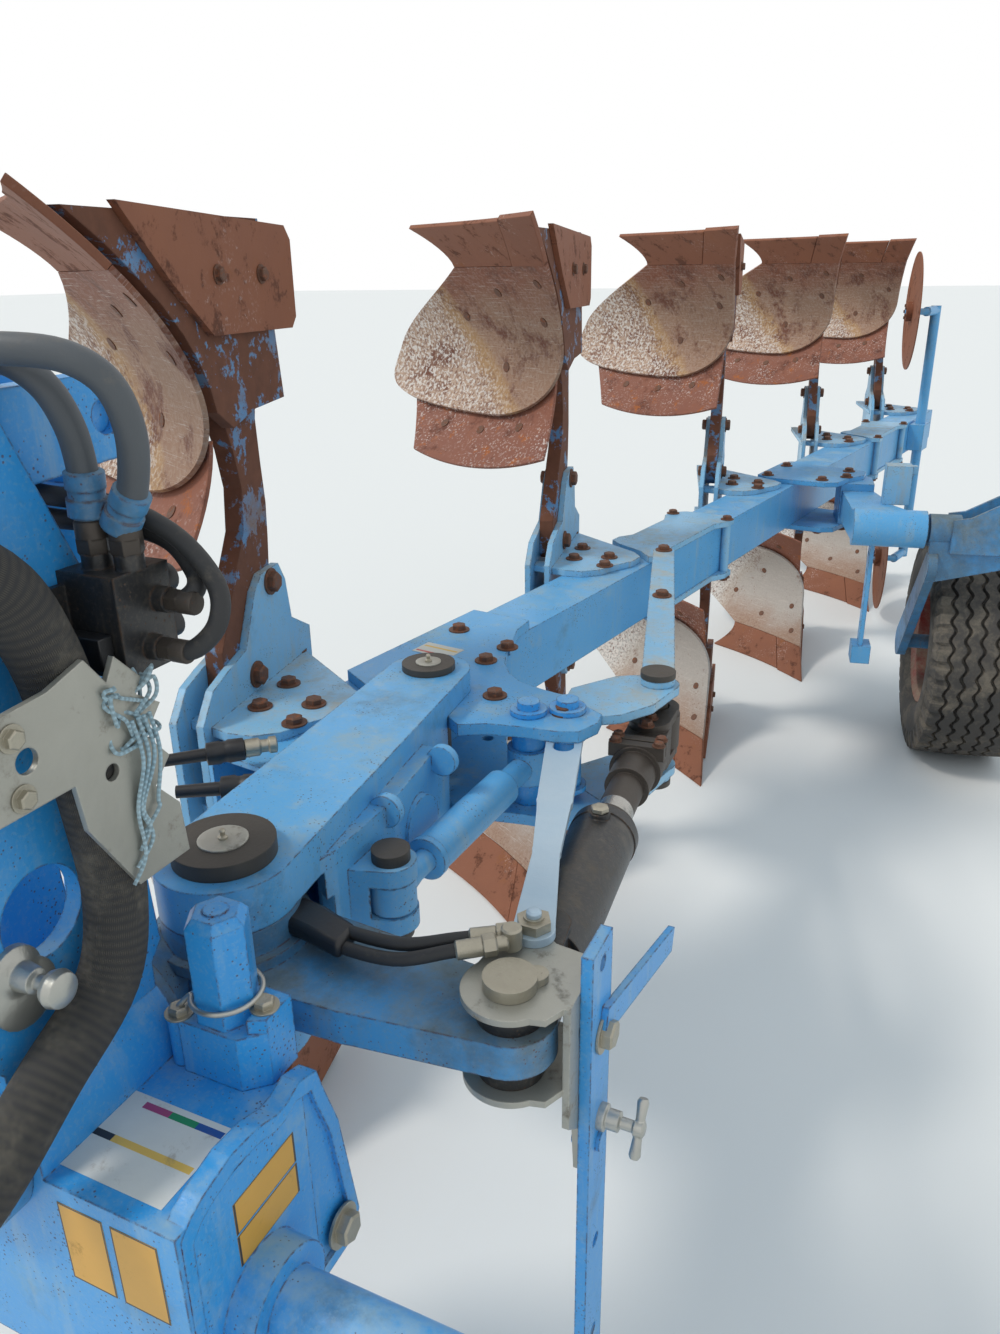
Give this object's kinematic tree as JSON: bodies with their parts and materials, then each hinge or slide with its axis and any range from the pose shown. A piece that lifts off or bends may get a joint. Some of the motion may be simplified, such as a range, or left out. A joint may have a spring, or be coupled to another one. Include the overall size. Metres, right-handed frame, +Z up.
{
  "type": "five-furrow reversible moldboard plough",
  "caption": "Mounted reversible plough parked on its lower bodies, with a square beam, mouldboards above and below, a turnover headstock and a pendulum depth wheel.",
  "frame": {"origin": "middle of the lower link pin line", "axes": "+Y to the rear of the plough, +X to the driver's left, +Z up"},
  "size_m": [1.9936, 5.5282, 1.752],
  "materials": {
    "headstock_blue": "azure gloss paint with dust and chips",
    "frame_blue": "dusty lighter blue paint, sandy dirt in corners, rusty bolts",
    "zinc": "zinc-plated steel, satin",
    "galvanised": "hot-dip galvanised sheet with grime",
    "cylinder_black": "black semi-gloss paint, dusty",
    "chrome_rod": "polished rod, rusty split clamp and eye",
    "hose": "dusty rubber hose and woven sleeve",
    "dark_rubber": "dark plastic ring and pin ends",
    "rusty_steel": "bare steel with brown rust",
    "worn_steel": "soil-worn steel with scratches, dirt and rust freckles",
    "rim_red": "faded red paint, dusty",
    "tyre": "worn agricultural rubber with dust"
  },
  "bodies": {
    "headstock": {"headstock": "headstock_blue", "lower_link_pins": "zinc", "stop_posts": "headstock_blue", "turnover_cylinder": "headstock_blue", "valve_block": "cylinder_black", "hose_holder": "galvanised", "tower_hoses": "hose", "hose_sleeve": "hose"},
    "turning_head": {"turning_head": "frame_blue", "crank_pins": "zinc", "crank_hoses": "hose", "stand_bracket": "galvanised"},
    "stand": {"stand": "frame_blue"},
    "swing_barrel": {"swing_barrel": "cylinder_black"},
    "swing_rod": {"swing_rod": "chrome_rod"},
    "swing_lever": {"swing_lever": "zinc"},
    "frame": {"casting": "frame_blue", "head_plates": "frame_blue", "beam": "frame_blue", "turnbuckle": "frame_blue", "outrigger": "frame_blue", "strap": "frame_blue", "pivot_pins": "dark_rubber", "spools": "headstock_blue", "bracket_1": "frame_blue", "bracket_2": "frame_blue", "bracket_3": "frame_blue", "bracket_4": "frame_blue", "bracket_5": "frame_blue", "leg_1": "rusty_steel", "leg_2": "rusty_steel", "leg_3": "rusty_steel", "leg_4": "rusty_steel", "leg_5": "rusty_steel", "mouldboard_1": "worn_steel", "mouldboard_2": "worn_steel", "mouldboard_3": "worn_steel", "mouldboard_4": "worn_steel", "mouldboard_5": "worn_steel", "share_1": "rusty_steel", "share_2": "rusty_steel", "share_3": "rusty_steel", "share_4": "rusty_steel", "share_5": "rusty_steel", "trash_boards": "rusty_steel", "landsides": "rusty_steel", "coulter_holders": "frame_blue", "wheel_bracket": "frame_blue", "wheel_stop": "frame_blue"},
    "wheel_arm": {"wheel_arm": "frame_blue"},
    "wheel": {"rim": "rim_red", "tyre": "tyre"},
    "coulter_upper": {"coulter_disc_upper": "rusty_steel"},
    "coulter_lower": {"coulter_disc_lower": "rusty_steel"}
  },
  "joints": [
    {"name": "turnover", "type": "hinge", "parent": "headstock", "child": "turning_head", "pos_m": [0, 0, 0.19], "axis": [0, 1, 0], "range_deg": [0, 180]},
    {"name": "frame_swing", "type": "hinge", "parent": "turning_head", "child": "frame", "pos_m": [0.05, 0.25, 0.19], "axis": [0, 0, 1], "range_deg": [-11, 0]},
    {"name": "swing_barrel_tilt", "type": "hinge", "parent": "turning_head", "child": "swing_barrel", "pos_m": [0.42, 0.25, 0.19], "axis": [0, 0, 1], "range_deg": [-11.06, 0]},
    {"name": "swing_rod_slide", "type": "slide", "parent": "swing_barrel", "child": "swing_rod", "axis": [-0.0935, 0.9956, 0], "range_m": [-0.07143, 0]},
    {"name": "lever_tilt", "type": "hinge", "parent": "turning_head", "child": "swing_lever", "pos_m": [0.409, 0.342, 0.19], "axis": [0, 0, 1], "range_deg": [-11.44, 0]},
    {"name": "stand_fold", "type": "hinge", "parent": "turning_head", "child": "stand", "pos_m": [0.5, 0.3, 0.02], "axis": [1, 0, 0], "range_deg": [0, 90]},
    {"name": "wheel_pendulum", "type": "hinge", "parent": "frame", "child": "wheel_arm", "pos_m": [0.69949, 2.78456, 0.19], "axis": [0.9833, 0.1822, 0], "range_deg": [0, 111.47]},
    {"name": "wheel_spin", "type": "hinge", "parent": "wheel_arm", "child": "wheel", "pos_m": [0.86605, 3.148, -0.29], "axis": [0.9833, 0.1822, 0], "continuous": true},
    {"name": "coulter_upper_spin", "type": "hinge", "parent": "frame", "child": "coulter_upper", "pos_m": [0.47121, 4.57157, 0.76], "axis": [0.9833, 0.1822, 0], "continuous": true},
    {"name": "coulter_lower_spin", "type": "hinge", "parent": "frame", "child": "coulter_lower", "pos_m": [0.47121, 4.57157, -0.38], "axis": [0.9833, 0.1822, 0], "continuous": true}
  ],
  "couplings": [
    {"joint": "swing_barrel_tilt", "follows": "frame_swing", "ratio": 1.0012},
    {"joint": "swing_rod_slide", "follows": "frame_swing", "m_per_rad": 0.36943},
    {"joint": "lever_tilt", "follows": "frame_swing", "ratio": 1.0353}
  ]
}
